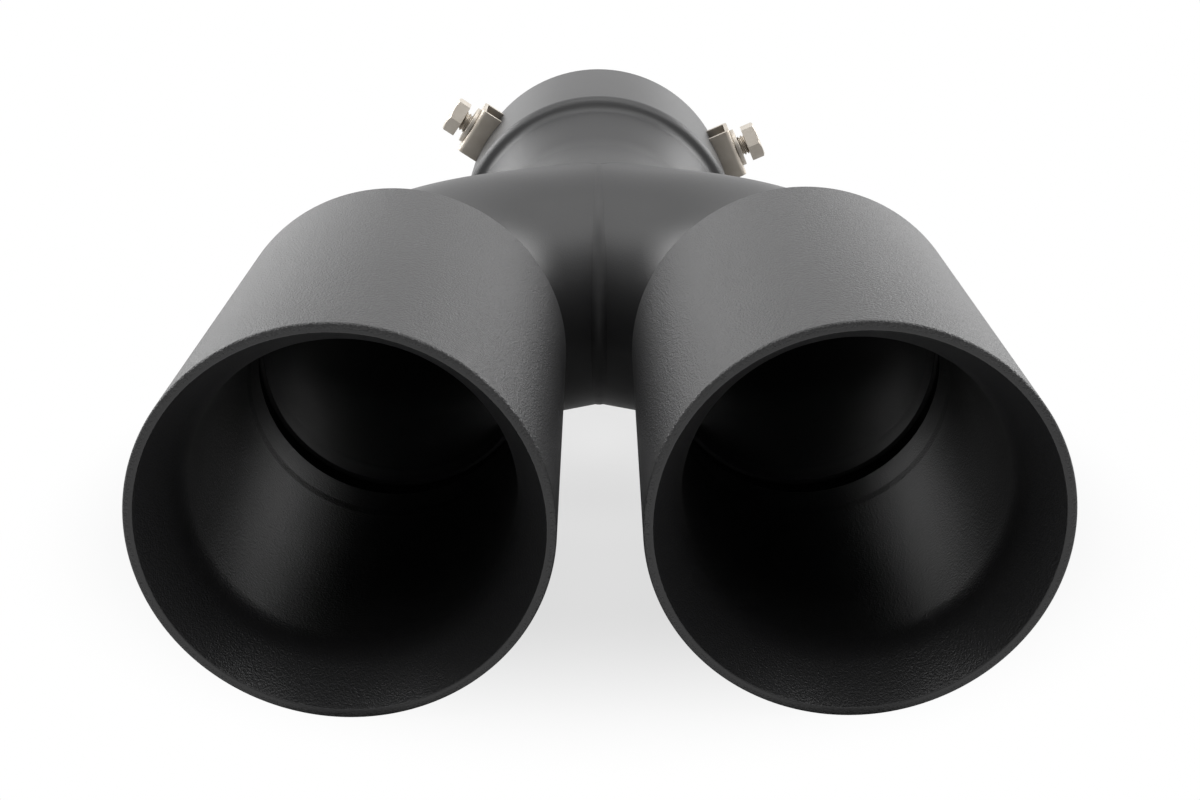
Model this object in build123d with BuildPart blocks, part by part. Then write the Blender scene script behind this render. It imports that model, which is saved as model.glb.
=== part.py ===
"""Twin exhaust tip: two double-walled tips on a welded Y pipe with a slip-on inlet and three set-bolt clamps.

Millimetres. The origin is the centre of the inlet's open end. +Y points out of the inlet, along the tail pipe,
so the two mouths face -Y. +Z is up, and left and right are as seen when looking into the mouths.
"""
import os
from math import atan2, cos, radians, sin, sqrt, tan

from build123d import *

# Tips
tip_diameter = 101.6
tip_length = 128.8
tip_wall = 1.5
tip_gap = 20.1
rim_round = 0.8

# Inner liners, which start as a funnel at the rim
liner_wall = 1.2
liner_length = 111.0
liner_land = 1.6
liner_lip_chamfer = 0.3
funnel_depth = 17.5
funnel_blend = 12.0
throat_diameter = 81.4
liner_end_diameter = 79.4
collar_length = 12.5
collar_step = 0.4
collar_step_length = 3.0
collar_blend = 6.0

# Rear caps, which close the tips around the legs
cap_thickness = 1.5
leg_end_inside = 8.0

# Y pipe: two bent legs and the inlet pipe, all of one tube size
pipe_diameter = 83.0
pipe_wall = 1.5
leg_bend = 62.0
leg_bend_radius = 62.0
leg_straight = 3.8

# Inlet pipe: a short neck, a cone, and a step up to the slip-on sleeve
neck_straight = 3.5
neck_blend = 40.0
cone_length = 26.0
step_height = 4.5
step_length = 2.6
step_inner_blend = 5.0
step_outer_blend = 4.2
sleeve_length = 61.7
sleeve_bore_diameter = 102.4

# Welds
seam_bead_radius = 5.0
seam_top_height = 0.15
seam_side_height = 2.0
tip_weld_leg = 3.0

# Set-bolt clamps
clamp_from_end = 18.0
clamp_roll = 4.0
clamp_places = {"upper_left": -60.5, "upper_right": 62.5, "lower": 180.0}
bracket_length = 19.0
bracket_strip = 1.5
bracket_height = 7.6
thread_diameter = 8.0
thread_clearance = 0.05
hex_across_flats = 13.0
hex_chamfer = 0.9
hex_side_clearance = 0.3
nut_height = 5.0
washer_diameter = 15.0
washer_thickness = 1.6
bolt_hole_clearance = 0.2
sleeve_hole_clearance = 0.5
bolt_head_height = 5.3
bolt_length = 12.0
bolt_tip_chamfer = 1.0
bolt_thread_showing = 2.8

# Extra length on pipes and cutters that are trimmed at the junction
trim_margin = 1.0

# Places that follow from the sizes above
tip_radius = tip_diameter / 2
tip_bore_radius = tip_radius - tip_wall
pipe_radius = pipe_diameter / 2
pipe_bore_radius = pipe_radius - pipe_wall
sleeve_radius = sleeve_bore_diameter / 2 + pipe_wall
tip_spacing = tip_diameter + tip_gap
tip_x = tip_spacing / 2
bend = radians(leg_bend)
leg_run = (tip_x - leg_bend_radius * (1 - cos(bend))) / sin(bend)
leg_forward = leg_run * cos(bend) + leg_bend_radius * sin(bend)
step_y = -sleeve_length
cone_y = step_y - step_length
cone_radius = sleeve_radius - step_height
neck_y = cone_y - cone_length
cone_slope = atan2(cone_radius - pipe_radius, cone_length)
seam_reach = pipe_radius * tan(bend / 2)
junction_y = neck_y - neck_blend * tan(cone_slope / 2) - neck_straight - seam_reach
bend_y = junction_y - leg_forward
tip_rear_y = bend_y - leg_straight
mouth_y = tip_rear_y - tip_length
clamp_y = -clamp_from_end
web_radius = sleeve_radius + bracket_height
hex_corner_radius = hex_across_flats / sqrt(3)

# The three pipe axes leave the junction in these directions, and each seam lies midway between two of them
neck_axis = Vector(0, 1, 0)
leg_axes = {"left": Vector(-sin(bend), -cos(bend), 0), "right": Vector(sin(bend), -cos(bend), 0)}
sides = {"left": -1, "right": 1}
junction = Vector(0, junction_y, 0)

os.makedirs("parts", exist_ok=True)


def hand_over(piece, name):
    """Names a finished piece and writes it."""
    piece.part.label = name
    export_step(piece.part, f"parts/{name}.step")


def tip_plane(sign):
    """A tip's own section plane: x outward from the tip's axis, y from the mouth towards the inlet."""
    return Plane(origin=(sign * tip_x, mouth_y, 0), x_dir=(1, 0, 0), z_dir=(0, 0, 1))


def tip_axis(sign):
    return Axis((sign * tip_x, mouth_y, 0), (0, 1, 0))


def facing_plane(first, second):
    """The upright plane midway between two pipe axes, with its normal towards the first."""
    return Plane(origin=junction, z_dir=first - second)


def upright_plane(along, towards):
    """The upright plane that holds one pipe axis, with its normal on the side of a seam."""
    across = towards - along * towards.dot(along)
    return Plane(origin=junction, z_dir=across)


def build_tip_shell(side, sign):
    with BuildPart() as tip_shell:
        with BuildSketch(tip_plane(sign)):
            with BuildLine():
                Polyline(
                    (tip_bore_radius, 0),
                    (tip_radius, 0),
                    (tip_radius, tip_length),
                    (tip_bore_radius, tip_length),
                    close=True,
                )
            face = make_face()
            rim_corner = face.vertices().sort_by(Axis.Y)[:2].sort_by(Axis.X)[-1]
            fillet(rim_corner, radius=rim_round)
        revolve(axis=tip_axis(sign))
    hand_over(tip_shell, f"{side}_tip_shell")


def build_liner(side, sign):
    """A spun liner: a land against the shell, a funnel, a tapering tube and a collar one small step smaller."""
    mouth_radius = tip_bore_radius - liner_wall
    end_radius = liner_end_diameter / 2
    collar_y = liner_length - collar_length
    with BuildPart() as liner:
        with BuildSketch(tip_plane(sign)):
            with BuildLine():
                inner_line = FilletPolyline(
                    (mouth_radius, 0),
                    (mouth_radius, liner_land),
                    (throat_diameter / 2, funnel_depth),
                    (end_radius + collar_step, collar_y - collar_step_length),
                    (end_radius, collar_y),
                    (end_radius, liner_length),
                    radius=(liner_land / 2, funnel_blend, collar_blend, collar_blend),
                )
                offset(inner_line, amount=liner_wall, side=Side.RIGHT)
            make_face()
        revolve(axis=tip_axis(sign))
        mouth_edges = liner.edges().filter_by(GeomType.CIRCLE).group_by(Axis.Y)[0]
        chamfer(mouth_edges.sort_by(SortBy.RADIUS)[0], length=liner_lip_chamfer)
    hand_over(liner, f"{side}_inner_liner")


def build_rear_cap(side, sign):
    with BuildPart() as rear_cap:
        with BuildSketch(Plane(origin=(sign * tip_x, tip_rear_y, 0), z_dir=(0, -1, 0))):
            Circle(tip_bore_radius)
            Circle(pipe_radius, mode=Mode.SUBTRACT)
        extrude(amount=cap_thickness)
    hand_over(rear_cap, f"{side}_rear_cap")


def leg_round(sign, radius):
    """A full round along a leg's middle line, from inside the tip to just past the junction."""
    front_y = tip_rear_y - leg_end_inside
    with BuildPart() as full_round:
        with BuildLine():
            into_tip = Line((sign * tip_x, front_y), (sign * tip_x, bend_y))
            elbow = JernArc(into_tip @ 1, (0, 1), leg_bend_radius, sign * leg_bend)
            PolarLine(elbow @ 1, leg_run + trim_margin, direction=elbow % 1)
        with BuildSketch(Plane(origin=into_tip @ 0, z_dir=(0, 1, 0))):
            Circle(radius)
        sweep()
    return full_round.part


def build_leg(side, sign):
    """A bent leg, cut at the junction to meet the other leg and the neck in two upright planes."""
    other = leg_axes["right" if side == "left" else "left"]
    with BuildPart() as leg:
        add(leg_round(sign, pipe_radius))
        add(leg_round(sign, pipe_bore_radius), mode=Mode.SUBTRACT)
        split(bisect_by=facing_plane(leg_axes[side], other), keep=Keep.TOP)
        split(bisect_by=facing_plane(leg_axes[side], neck_axis), keep=Keep.TOP)
    hand_over(leg, f"{side}_leg")


def clamp_direction(angle):
    """Outward direction of a clamp, clockwise from the top when looking into the mouths."""
    turn = radians(angle + clamp_roll)
    return Vector(sin(turn), 0, cos(turn))


def clamp_plane(angle, radius):
    """A plane square to a clamp's bolt at a distance from the sleeve's axis, with x along the sleeve."""
    out = clamp_direction(angle)
    return Plane(origin=Vector(0, clamp_y, 0) + out * radius, x_dir=(0, 1, 0), z_dir=out)


def inlet_line():
    """The inlet's outer line, from just past the junction to its open end: neck, cone, step and sleeve."""
    with BuildLine() as line:
        FilletPolyline(
            (pipe_radius, junction_y - trim_margin),
            (pipe_radius, neck_y),
            (cone_radius, cone_y),
            (sleeve_radius, step_y),
            (sleeve_radius, 0),
            radius=(neck_blend, step_inner_blend, step_outer_blend),
        )
    return line.wire()


def inlet_round():
    """The inlet's outer form, with no bore."""
    with BuildPart() as full_round:
        with BuildSketch():
            with BuildLine():
                outer_line = inlet_line()
                add(outer_line)
                Polyline(outer_line @ 0, (0, (outer_line @ 0).Y), (0, 0), outer_line @ 1)
            make_face()
        revolve(axis=Axis.Y)
    return full_round.part


def build_inlet_pipe():
    """The neck, cone and sleeve, one swaged tube, pointed at the junction and drilled for the set bolts."""
    with BuildPart() as inlet_pipe:
        with BuildSketch():
            with BuildLine():
                outer_line = inlet_line()
                add(outer_line)
                offset(outer_line, amount=pipe_wall, side=Side.LEFT)
            make_face()
        revolve(axis=Axis.Y)
        for leg_axis in leg_axes.values():
            split(bisect_by=facing_plane(neck_axis, leg_axis), keep=Keep.TOP)
        for angle in clamp_places.values():
            with BuildSketch(clamp_plane(angle, sleeve_radius)):
                Circle(thread_diameter / 2 + sleeve_hole_clearance)
            extrude(amount=-2 * pipe_wall, mode=Mode.SUBTRACT)
    hand_over(inlet_pipe, "inlet_pipe")


def build_seam_weld(name, first, second, pipes):
    """A bead along half an ellipse, where two pipes of one size meet, cut to what stands outside those pipes."""
    towards = (first + second).normalized()
    half_angle = radians(first.get_angle(second) / 2)
    side_radius = pipe_radius / sin(half_angle) + seam_side_height - seam_bead_radius
    top_radius = pipe_radius + seam_top_height - seam_bead_radius
    with BuildPart() as seam_weld:
        with BuildLine(Plane(origin=junction, x_dir=towards, z_dir=towards.cross(Vector(0, 0, 1)))):
            seam = EllipticalCenterArc((0, 0), side_radius, top_radius, start_angle=-90, arc_size=180)
        with BuildSketch(Plane(origin=seam @ 0, z_dir=seam % 0)):
            Circle(seam_bead_radius)
        sweep()
        for pipe_axis in (first, second):
            split(bisect_by=upright_plane(pipe_axis, towards), keep=Keep.TOP)
        add(pipes, mode=Mode.SUBTRACT)
    hand_over(seam_weld, name)


def build_tip_weld(side, sign):
    """A fillet weld that joins a leg to its rear cap."""
    with BuildPart() as tip_weld:
        with BuildSketch(tip_plane(sign)):
            with BuildLine():
                Polyline(
                    (pipe_radius, tip_length),
                    (pipe_radius + tip_weld_leg, tip_length),
                    (pipe_radius, tip_length + tip_weld_leg),
                    close=True,
                )
            make_face()
        revolve(axis=tip_axis(sign))
    hand_over(tip_weld, f"{side}_tip_weld")


def build_bracket(place, angle):
    """A folded channel across the sleeve, open at both ends, with its feet coped to the sleeve."""
    out = clamp_direction(angle)
    channel_width = hex_across_flats + 2 * hex_side_clearance
    with BuildPart() as bracket:
        with BuildSketch(Plane(origin=(0, clamp_y, 0), x_dir=(0, 1, 0), z_dir=Vector(0, 1, 0).cross(out))):
            with BuildLine():
                outer_line = FilletPolyline(
                    (-channel_width / 2 - bracket_strip, sleeve_radius - bracket_height),
                    (-channel_width / 2 - bracket_strip, web_radius),
                    (channel_width / 2 + bracket_strip, web_radius),
                    (channel_width / 2 + bracket_strip, sleeve_radius - bracket_height),
                    radius=bracket_strip + hex_side_clearance,
                )
                offset(outer_line, amount=bracket_strip, side=Side.RIGHT)
            make_face()
        extrude(amount=bracket_length / 2, both=True)
        with BuildSketch(clamp_plane(angle, web_radius)):
            Circle(thread_diameter / 2 + bolt_hole_clearance)
        extrude(amount=-2 * bracket_strip, mode=Mode.SUBTRACT)
        with BuildSketch(Plane.XZ.offset(-clamp_y)):
            Circle(sleeve_radius)
        extrude(amount=bracket_length, both=True, mode=Mode.SUBTRACT)
    hand_over(bracket, f"{place}_bracket")


def build_nut(place, angle):
    """The nut held in the channel, against the web."""
    with BuildPart() as nut:
        seat = clamp_plane(angle, web_radius - bracket_strip - nut_height)
        with BuildSketch(seat):
            Circle(hex_corner_radius)
        extrude(amount=nut_height)
        chamfer(nut.edges().filter_by(GeomType.CIRCLE), length=hex_chamfer / 2, length2=hex_chamfer)
        with BuildSketch(seat):
            RegularPolygon(hex_across_flats / 2, 6, major_radius=False, rotation=30)
            Circle(thread_diameter / 2 + thread_clearance, mode=Mode.SUBTRACT)
        extrude(amount=nut_height, mode=Mode.INTERSECT)
    hand_over(nut, f"{place}_nut")


def build_washer(place, angle):
    with BuildPart() as washer:
        with BuildSketch(clamp_plane(angle, web_radius)):
            Circle(washer_diameter / 2)
            Circle(thread_diameter / 2 + bolt_hole_clearance, mode=Mode.SUBTRACT)
        extrude(amount=washer_thickness)
    hand_over(washer, f"{place}_washer")


def build_set_bolt(place, angle):
    """A hexagon set bolt, backed out so that some thread shows between its head and the washer."""
    head_radius = web_radius + washer_thickness + bolt_thread_showing
    seat = clamp_plane(angle, head_radius)
    with BuildPart() as set_bolt:
        with BuildSketch(seat):
            Circle(hex_corner_radius)
        extrude(amount=bolt_head_height)
        outer_end = set_bolt.edges().filter_by(GeomType.CIRCLE).sort_by_distance((0, clamp_y, 0))[-1]
        chamfer(outer_end, length=hex_chamfer / 2, length2=hex_chamfer)
        with BuildSketch(seat):
            RegularPolygon(hex_across_flats / 2, 6, major_radius=False)
        extrude(amount=bolt_head_height, mode=Mode.INTERSECT)
        with BuildSketch(seat):
            Circle(thread_diameter / 2)
        extrude(amount=-bolt_length)
        inner_end = set_bolt.edges().filter_by(GeomType.CIRCLE).sort_by_distance((0, clamp_y, 0))[0]
        chamfer(inner_end, length=bolt_tip_chamfer)
    hand_over(set_bolt, f"{place}_set_bolt")


for side, sign in sides.items():
    build_tip_shell(side, sign)
    build_liner(side, sign)
    build_rear_cap(side, sign)
    build_leg(side, sign)
    build_tip_weld(side, sign)
build_inlet_pipe()
left_round, right_round = (leg_round(sign, pipe_radius) for sign in sides.values())
build_seam_weld("front_seam_weld", leg_axes["left"], leg_axes["right"], [left_round, right_round])
build_seam_weld("left_seam_weld", leg_axes["left"], neck_axis, [left_round, inlet_round()])
build_seam_weld("right_seam_weld", leg_axes["right"], neck_axis, [right_round, inlet_round()])
for place, angle in clamp_places.items():
    build_bracket(place, angle)
    build_nut(place, angle)
    build_washer(place, angle)
    build_set_bolt(place, angle)
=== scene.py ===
"""Looks of a twin exhaust tip: black powder coat on tips, pipes and welds, bare steel on the clamps.

Metres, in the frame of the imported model: the origin is the centre of the inlet's open end, the mouths
face -Y and +Z is up. Places and main sizes are read from the frame, and fine sizes are named below in
millimetres.
"""
from cmath import phase
from math import asin, atan2, cos, pi, radians, sin, tan

import bmesh
import bpy
import numpy as np
from mathutils import Matrix, Vector


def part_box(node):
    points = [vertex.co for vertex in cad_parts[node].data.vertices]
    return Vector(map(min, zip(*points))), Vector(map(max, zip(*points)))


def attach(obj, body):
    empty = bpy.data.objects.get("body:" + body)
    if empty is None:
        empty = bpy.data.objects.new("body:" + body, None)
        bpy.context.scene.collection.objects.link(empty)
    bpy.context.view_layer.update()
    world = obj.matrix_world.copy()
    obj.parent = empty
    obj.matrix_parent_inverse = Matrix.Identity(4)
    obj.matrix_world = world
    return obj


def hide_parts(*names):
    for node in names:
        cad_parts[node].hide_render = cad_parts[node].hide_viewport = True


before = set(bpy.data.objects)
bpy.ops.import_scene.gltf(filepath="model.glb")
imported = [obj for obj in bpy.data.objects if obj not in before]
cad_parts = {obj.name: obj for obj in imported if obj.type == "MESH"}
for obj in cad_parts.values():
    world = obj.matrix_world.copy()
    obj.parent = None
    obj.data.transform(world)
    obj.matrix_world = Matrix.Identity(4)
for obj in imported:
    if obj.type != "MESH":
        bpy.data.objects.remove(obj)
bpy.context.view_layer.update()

MM = 0.001
BODY = "root"
SIDES = {"left": -1, "right": 1}
CLAMPS = ("upper_left", "upper_right", "lower")

# Fineness of the meshes
TURN_STEPS = 216
ARC_STEPS = 10
BEND_STEPS = 48
LEG_STEPS = 8
NECK_STEPS = 12
BEAD_STEPS = 420
BEAD_COLUMNS = 25
BRACKET_STATIONS = 25
DRILL_STEPS = 64
HEX_STEPS = 96
THREAD_TURN_STEPS = HEX_STEPS // 2
THREAD_STEPS_PER_PITCH = 14
EDGE_SEGMENTS = 3
SHARP_ANGLE = radians(32)
MERGE_DISTANCE = 0.0005 * MM
THREAD_MERGE_DISTANCE = 0.002 * MM

# Tips and liners
TIP_WALL = 1.5 * MM
RIM_ROUND = 0.8 * MM
EDGE_BREAK = 0.25 * MM
LINER_WALL = 1.2 * MM
LINER_LAND = 1.6 * MM
LINER_LIP = 0.35 * MM
LIP_ROUND = 0.4 * MM
FUNNEL_DEPTH = 17.5 * MM
FUNNEL_BLEND = 30.0 * MM
THROAT_RADIUS = 40.7 * MM
LINER_END_RADIUS = 39.7 * MM
COLLAR_LENGTH = 12.5 * MM
COLLAR_STEP = 0.4 * MM
COLLAR_STEP_LENGTH = 3.0 * MM
COLLAR_BLEND = 6.0 * MM

# Y pipe
PIPE_WALL = 1.5 * MM
LEG_BEND = radians(62)
LEG_BEND_RADIUS = 62.0 * MM
ROOT_MARK_PLACE = 0.9 * MM
ROOT_MARK_WIDTH = 1.2 * MM
ROOT_MARK_DEPTH = 0.1 * MM
NECK_BLEND = 40.0 * MM
CONE_LENGTH = 26.0 * MM
STEP_HEIGHT = 4.5 * MM
STEP_LENGTH = 2.6 * MM
STEP_INNER_BLEND = 5.0 * MM
STEP_OUTER_BLEND = 4.2 * MM
SLEEVE_LENGTH = 61.7 * MM
SLEEVE_HOLE_RADIUS = 4.5 * MM

# Welds
BEAD_RADIUS = 5.0 * MM
BEAD_TOP_HEIGHT = 0.15 * MM
BEAD_SIDE_HEIGHT = 2.0 * MM
BEAD_HALF_ARC = radians(60)
TIP_WELD_BULGE = 0.35 * MM
WELD_ROOT = 0.4 * MM
RIPPLE_PITCH = 1.9 * MM
RIPPLE_CURVE = 0.55
RIPPLE_WOBBLE_RATE = 0.35
SEAM_RIPPLE = 0.004 * MM
TIP_WELD_RIPPLE = 0.1 * MM
LUMP_SIZE = 6.0 * MM
LUMP_HEIGHT = 0.12 * MM
LUMP_LEVEL = 0.6

# Clamps
STRIP = 1.5 * MM
STRIP_BEND = 1.8 * MM
STRIP_EDGE = 0.22 * MM
HEX_FLATS = 13.0 * MM
HEX_CHAMFER_SLOPE = 0.5
NUT_FACE_SHARE = 0.97
HEAD_FACE_SHARE = 0.95
HEAD_UNDERSIDE_SHARE = 0.9
BOLT_RADIUS = 4.0 * MM
BOLT_HOLE_RADIUS = 4.2 * MM
BOLT_HEAD_HEIGHT = 5.3 * MM
BOLT_TIP_CHAMFER = 1.0 * MM
THREAD_PITCH = 1.25 * MM
THREAD_DEPTH = 0.72 * MM
THREAD_CREST_END = 0.14
THREAD_ROOT_START = 0.8
NUT_BORE_RADIUS = BOLT_RADIUS - THREAD_DEPTH / 3
NUT_LEAD_IN = 0.4 * MM
WASHER_EDGE = 0.3 * MM

# Powder coat and bare steel
SPECK_FINENESS = 1.7
SPECK_SHARE = 0.45
TONE_SIZE = 30 * MM
COAT_DARK = 0.032
COAT_PALE = 0.042
# The liner's coat is darker than the shell's: painted shade that darkens the inside of the mouths
LINER_SHADED_DARK = 0.024
LINER_SHADED_PALE = 0.032
COAT_BLUE = 0.001
COAT_GLOSS_SPREAD = 0.05
LINE_STRETCH = 0.08
LINE_DEPTH = 0.012 * MM
LINE_STRENGTH = 0.6
TINT_SIZE = 5 * MM
STEEL_GLOSS_SPREAD = 0.08
SHEET_PALE = (0.62, 0.58, 0.52, 1)
SHEET_BROWN = (0.46, 0.41, 0.35, 1)
# The nut's steel is far darker than the other steel: painted shade for the nut inside the bracket's channel
NUT_SHADED_PALE = (0.2, 0.18, 0.155, 1)
NUT_SHADED_BROWN = (0.14, 0.12, 0.1, 1)
BOLT_PALE = (0.64, 0.6, 0.54, 1)
BOLT_BROWN = (0.5, 0.45, 0.39, 1)

# Camera
CAMERA_PLACE = Vector((-0.2, -683.4, 166.2)) * MM
CAMERA_TURN = radians(-0.05)
CAMERA_PITCH = radians(-20.57)
CAMERA_ROLL = radians(-0.21)
SENSOR_WIDTH = 36.0
FOCAL_PIXELS = 1680.5
PICTURE_PIXELS = 1200

# Floor, with its shadow's oval and the shares of plain white that it shows
FLOOR_SIZE = 3.0
FLOOR_GREY = (0.52, 0.52, 0.52, 1)
FLOOR_ROUGHNESS = 0.9
FLOOR_WHITE = 0.7
FLOOR_MIRRORED = 0.03
FLOOR_MIRRORED_OUTSIDE = 0.9
SHADOW_CENTRE = 172 * MM
SHADOW_HALF_WIDTH = 168 * MM
SHADOW_HALF_DEPTH = 178 * MM
SHADOW_START = 0.6
SHADOW_END = 1.15
MIRRORED_START = 1.1
MIRRORED_END = 2.2
FRONT_FADE = 8 * MM

# Room
WHITE = (1, 1, 1, 1)
FILL_LIGHT = 0.02
FRONT_SHADE = 0.4
BACKDROP_LIGHT = 1.0
FRONT_SHADE_END = -0.1
BACKDROP_START = 0.5
DOWNWARDS = (0, 0, -1)
FORWARDS = (0, -1, 0)


# Places and main sizes, from the frame

def span(node, direction):
    """Least and greatest distance of a node's points along a direction."""
    points = np.array([vertex.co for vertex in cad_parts[node].data.vertices])
    distances = points @ np.array(direction)
    return float(distances.min()), float(distances.max())


def clamp_out(clamp):
    """Direction of a clamp's bolt, away from the sleeve's axis."""
    low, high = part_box(clamp + "_washer")
    middle = (low + high) / 2
    return Vector((middle.x, 0, middle.z)).normalized()


def clamp_place(clamp):
    """Where a clamp stands: x along the sleeve, z out along the bolt, from the sleeve's axis."""
    low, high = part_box(clamp + "_washer")
    out = clamp_out(clamp)
    along = Vector((0, 1, 0))
    across = out.cross(along)
    turn = Matrix((along, across, out)).transposed().to_4x4()
    return Matrix.Translation((0, (low.y + high.y) / 2, 0)) @ turn


TIP_LOW, TIP_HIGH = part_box("right_tip_shell")
TIP_X = (TIP_LOW.x + TIP_HIGH.x) / 2
TIP_RADIUS = (TIP_HIGH.x - TIP_LOW.x) / 2
TIP_BORE = TIP_RADIUS - TIP_WALL
MOUTH_Y = TIP_LOW.y
TIP_REAR_Y = TIP_HIGH.y
LINER_END_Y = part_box("right_inner_liner")[1].y
CAP_FRONT_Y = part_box("right_rear_cap")[0].y
TIP_WELD_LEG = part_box("right_tip_weld")[1].y - TIP_REAR_Y
LEG_LOW, LEG_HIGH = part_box("right_leg")
LEG_FRONT_Y = LEG_LOW.y
PIPE_RADIUS = (LEG_HIGH.z - LEG_LOW.z) / 2
PIPE_BORE = PIPE_RADIUS - PIPE_WALL
INLET_LOW, INLET_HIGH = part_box("inlet_pipe")
SLEEVE_RADIUS = (INLET_HIGH.x - INLET_LOW.x) / 2
JUNCTION_Y = INLET_LOW.y
JUNCTION = np.array((0.0, JUNCTION_Y, 0.0))
NECK_AXIS = np.array((0.0, 1.0, 0.0))
UP = np.array((0.0, 0.0, 1.0))
LEG_RUN = (TIP_X - LEG_BEND_RADIUS * (1 - cos(LEG_BEND))) / sin(LEG_BEND)
BEND_Y = JUNCTION_Y - LEG_RUN * cos(LEG_BEND) - LEG_BEND_RADIUS * sin(LEG_BEND)


# Node trees

def add_node(tree, kind, **settings):
    node = tree.nodes.new(kind)
    for name, value in settings.items():
        setattr(node, name, value)
    return node


def feed(tree, socket, value):
    """Links a socket to an input, or sets the input to a plain value."""
    if isinstance(value, bpy.types.NodeSocket):
        tree.links.new(value, socket)
    else:
        socket.default_value = value


def calc(tree, operation, *values, clamp=False):
    """One Math node, fed with sockets or numbers."""
    node = add_node(tree, "ShaderNodeMath", operation=operation, use_clamp=clamp)
    for socket, value in zip(node.inputs, values):
        feed(tree, socket, value)
    return node.outputs[0]


def with_inputs(tree, kind, inputs, **settings):
    """A node with its named inputs fed."""
    node = add_node(tree, kind, **settings)
    for name, value in inputs.items():
        feed(tree, node.inputs[name], value)
    return node


def between(tree, value, low, high):
    """A value mapped from 0 to 1 onto low to high."""
    node = with_inputs(tree, "ShaderNodeMapRange", {"Value": value, "To Min": low, "To Max": high})
    return node.outputs["Result"]


def soft_ramp(tree, value, start, end, low=0.0, high=1.0):
    """Goes smoothly from low to high while a value goes from start to end."""
    node = with_inputs(tree, "ShaderNodeMapRange", {
        "Value": value, "From Min": start, "From Max": end, "To Min": low, "To Max": high,
    }, interpolation_type="SMOOTHSTEP")
    return node.outputs["Result"]


def new_tree(name, kind, inputs, outputs):
    """A node group with named sockets, as (tree, its input node, its output node)."""
    tree = bpy.data.node_groups.new(name, kind)
    for label, socket_type in inputs.items():
        tree.interface.new_socket(label, in_out="INPUT", socket_type=socket_type)
    for label, socket_type in outputs.items():
        tree.interface.new_socket(label, in_out="OUTPUT", socket_type=socket_type)
    return tree, add_node(tree, "NodeGroupInput"), add_node(tree, "NodeGroupOutput")


# Finishes

def coat_grain_group():
    """The fine orange peel of a powder coat, with a slow change of tone over the surface."""
    number = "NodeSocketFloat"
    tree, given, made = new_tree(
        "coat_grain", "ShaderNodeTree",
        {"Grain Size": number, "Tone Size": number},
        {"Height": number, "Tone": number, "Gloss": number},
    )
    place = add_node(tree, "ShaderNodeTexCoord").outputs["Object"]
    fineness = calc(tree, "DIVIDE", 1.0, given.outputs["Grain Size"])
    peel = with_inputs(tree, "ShaderNodeTexNoise", {
        "Vector": place, "Scale": fineness, "Detail": 2.5, "Roughness": 0.55,
    })
    speck = with_inputs(tree, "ShaderNodeTexVoronoi", {
        "Vector": place, "Scale": calc(tree, "MULTIPLY", fineness, SPECK_FINENESS), "Randomness": 1.0,
    }, feature="F1")
    bumps = calc(tree, "MULTIPLY", calc(tree, "SUBTRACT", 1.0, speck.outputs["Distance"]), SPECK_SHARE)
    height = calc(tree, "ADD", peel.outputs["Fac"], bumps)
    slow = with_inputs(tree, "ShaderNodeTexNoise", {
        "Vector": place, "Scale": calc(tree, "DIVIDE", 1.0, given.outputs["Tone Size"]), "Detail": 3.0,
    })
    feed(tree, made.inputs["Height"], height)
    feed(tree, made.inputs["Tone"], slow.outputs["Fac"])
    feed(tree, made.inputs["Gloss"], peel.outputs["Fac"])
    return tree


def rolled_steel_group():
    """Rolling lines and a faint brown tint on bare stainless steel."""
    number = "NodeSocketFloat"
    tree, given, made = new_tree(
        "rolled_steel", "ShaderNodeTree",
        {"Line Size": number, "Tint Size": number},
        {"Lines": number, "Tint": number},
    )
    place = add_node(tree, "ShaderNodeTexCoord").outputs["Object"]
    stretched = with_inputs(tree, "ShaderNodeMapping", {"Vector": place, "Scale": (1.0, LINE_STRETCH, 1.0)})
    lines = with_inputs(tree, "ShaderNodeTexNoise", {
        "Vector": stretched.outputs["Vector"],
        "Scale": calc(tree, "DIVIDE", 1.0, given.outputs["Line Size"]),
        "Detail": 4.0,
    })
    tint = with_inputs(tree, "ShaderNodeTexNoise", {
        "Vector": place, "Scale": calc(tree, "DIVIDE", 1.0, given.outputs["Tint Size"]), "Detail": 2.0,
    })
    feed(tree, made.inputs["Lines"], lines.outputs["Fac"])
    feed(tree, made.inputs["Tint"], tint.outputs["Fac"])
    return tree


COAT_GRAIN = coat_grain_group()
ROLLED_STEEL = rolled_steel_group()


def new_material(name):
    """A material, with its tree and its shader."""
    material = bpy.data.materials.new(name)
    material.use_nodes = True
    return material, material.node_tree, material.node_tree.nodes["Principled BSDF"]


def mix_colours(tree, share, first, second):
    node = add_node(tree, "ShaderNodeMix", data_type="RGBA")
    feed(tree, node.inputs["Factor"], share)
    feed(tree, node.inputs["A"], first)
    feed(tree, node.inputs["B"], second)
    return node.outputs["Result"]


def add_bump(tree, shader, height, strength, distance):
    bump = with_inputs(tree, "ShaderNodeBump", {
        "Height": height, "Strength": strength, "Distance": distance,
    })
    feed(tree, shader.inputs["Normal"], bump.outputs["Normal"])


def coat_material(name, grain_size, grain_depth, roughness, dark=COAT_DARK, pale=COAT_PALE):
    """Matte black powder coat."""
    material, tree, shader = new_material(name)
    grain = with_inputs(tree, "ShaderNodeGroup", {
        "Grain Size": grain_size, "Tone Size": TONE_SIZE,
    }, node_tree=COAT_GRAIN)
    dark_shade = (dark, dark, dark + COAT_BLUE, 1)
    pale_shade = (pale, pale, pale + COAT_BLUE, 1)
    shade = mix_colours(tree, grain.outputs["Tone"], dark_shade, pale_shade)
    feed(tree, shader.inputs["Base Color"], shade)
    feed(tree, shader.inputs["Roughness"], between(
        tree, grain.outputs["Gloss"], roughness - COAT_GLOSS_SPREAD, roughness + COAT_GLOSS_SPREAD))
    add_bump(tree, shader, grain.outputs["Height"], 1.0, grain_depth)
    return material


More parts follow.
